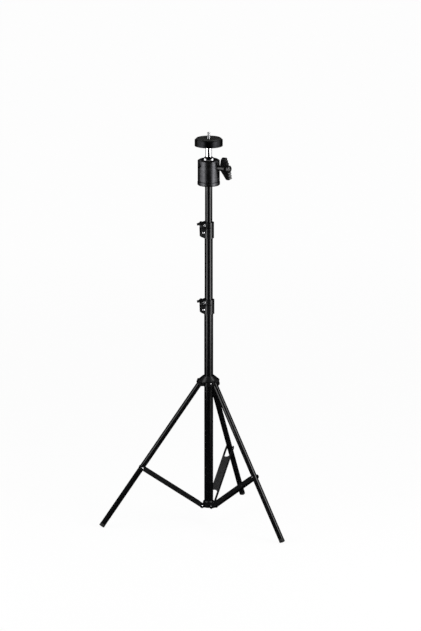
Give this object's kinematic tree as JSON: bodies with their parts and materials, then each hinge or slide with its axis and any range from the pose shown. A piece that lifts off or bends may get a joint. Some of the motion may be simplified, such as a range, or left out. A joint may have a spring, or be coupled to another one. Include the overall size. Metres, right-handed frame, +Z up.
{
  "type": "portable projector stand",
  "caption": "Folding tripod stand with braced legs, a telescoping column with screw clamps, and a ball head whose round platform and stud hold a small projector.",
  "frame": {"origin": "point on the floor under the column's axis, in the plane of the feet", "axes": "+Z up along the column, +Y towards the rear leg, +X to the right when the rear leg points away"},
  "size_m": [0.3908, 0.34, 0.8006],
  "materials": {
    "tube_paint": "semi-gloss black paint",
    "brace_paint": "satin black paint",
    "plastic": "fine-grained black plastic",
    "head_metal": "satin black anodised",
    "chrome": "bright plated",
    "dark_steel": "blackened",
    "rubber": "matt black rubber"
  },
  "bodies": {
    "column": {"lower_tube": "tube_paint", "lower_collar": "plastic", "collar_pins": "chrome", "lower_clamp": "plastic", "lower_clamp_screw": "chrome", "lower_clamp_bolt": "chrome"},
    "hub": {"hub": "plastic", "hub_pins": "chrome", "hub_lock": "plastic"},
    "middle_section": {"middle_tube": "tube_paint", "upper_clamp": "plastic", "upper_clamp_screw": "chrome", "upper_clamp_bolt": "chrome"},
    "top_section": {"top_tube": "tube_paint", "top_plug": "dark_steel", "head_base": "head_metal", "head_housing": "head_metal", "head_set_screw": "dark_steel"},
    "ball": {"ball_stem": "chrome"},
    "platform": {"platform": "head_metal", "platform_pad": "rubber", "stud": "chrome"},
    "ball_knob": {"ball_knob": "plastic", "ball_knob_shaft": "dark_steel"},
    "lower_knob": {"lower_clamp_knob": "plastic"},
    "upper_knob": {"upper_clamp_knob": "plastic"},
    "leg_rear": {"leg_rear": "tube_paint", "foot_rear": "rubber"},
    "brace_rear": {"brace_rear": "brace_paint", "brace_rivets_rear": "chrome"},
    "leg_left": {"leg_left": "tube_paint", "foot_left": "rubber"},
    "brace_left": {"brace_left": "brace_paint", "brace_rivets_left": "chrome"},
    "leg_right": {"leg_right": "tube_paint", "foot_right": "rubber"},
    "brace_right": {"brace_right": "brace_paint", "brace_rivets_right": "chrome"}
  },
  "joints": [
    {"name": "hub_slide", "type": "slide", "parent": "column", "child": "hub", "axis": [0, 0, 1], "range_m": [0, 0.10194]},
    {"name": "middle_slide", "type": "slide", "parent": "column", "child": "middle_section", "axis": [0, 0, 1], "range_m": [-0.12, 0.172]},
    {"name": "top_slide", "type": "slide", "parent": "middle_section", "child": "top_section", "axis": [0, 0, 1], "range_m": [-0.0668, 0.228]},
    {"name": "ball_tilt", "type": "hinge", "parent": "top_section", "child": "ball", "pos_m": [0, 0, 0.738], "axis": [0.7193, -0.6947, 0], "range_deg": [-35, 90]},
    {"name": "platform_spin", "type": "hinge", "parent": "ball", "child": "platform", "pos_m": [0, 0, 0.738], "axis": [0, 0, 1], "continuous": true},
    {"name": "ball_knob_turn", "type": "hinge", "parent": "top_section", "child": "ball_knob", "pos_m": [0.02167, -0.00382, 0.7302], "axis": [0.9848, -0.1736, 0], "continuous": true},
    {"name": "lower_knob_turn", "type": "hinge", "parent": "column", "child": "lower_knob", "pos_m": [-0.0099, -0.00643, 0.4553], "axis": [-0.5446, 0.8387, 0], "continuous": true},
    {"name": "upper_knob_turn", "type": "hinge", "parent": "middle_section", "child": "upper_knob", "pos_m": [-0.0099, -0.00643, 0.6133], "axis": [-0.5446, 0.8387, 0], "continuous": true},
    {"name": "leg_rear_fold", "type": "hinge", "parent": "hub", "child": "leg_rear", "pos_m": [0, 0.017, 0.29012], "axis": [-1, 0, 0], "range_deg": [0, 33.4]},
    {"name": "brace_rear_fold", "type": "hinge", "parent": "column", "child": "brace_rear", "pos_m": [0, 0.015, 0.0345], "axis": [1, 0, 0], "range_deg": [0, 51.9]},
    {"name": "leg_left_fold", "type": "hinge", "parent": "hub", "child": "leg_left", "pos_m": [-0.01472, -0.0085, 0.29012], "axis": [0.5, -0.866, 0], "range_deg": [0, 33.4]},
    {"name": "brace_left_fold", "type": "hinge", "parent": "column", "child": "brace_left", "pos_m": [-0.01299, -0.0075, 0.0345], "axis": [-0.5, 0.866, 0], "range_deg": [0, 51.9]},
    {"name": "leg_right_fold", "type": "hinge", "parent": "hub", "child": "leg_right", "pos_m": [0.01472, -0.0085, 0.29012], "axis": [0.5, 0.866, 0], "range_deg": [0, 33.4]},
    {"name": "brace_right_fold", "type": "hinge", "parent": "column", "child": "brace_right", "pos_m": [0.01299, -0.0075, 0.0345], "axis": [-0.5, -0.866, 0], "range_deg": [0, 51.9]}
  ],
  "couplings": [
    {"joint": "leg_rear_fold", "follows": "hub_slide", "rad_per_m": 5.6837},
    {"joint": "brace_rear_fold", "follows": "hub_slide", "rad_per_m": 8.8531},
    {"joint": "leg_left_fold", "follows": "hub_slide", "rad_per_m": 5.6837},
    {"joint": "brace_left_fold", "follows": "hub_slide", "rad_per_m": 8.8531},
    {"joint": "leg_right_fold", "follows": "hub_slide", "rad_per_m": 5.6837},
    {"joint": "brace_right_fold", "follows": "hub_slide", "rad_per_m": 8.8531}
  ]
}
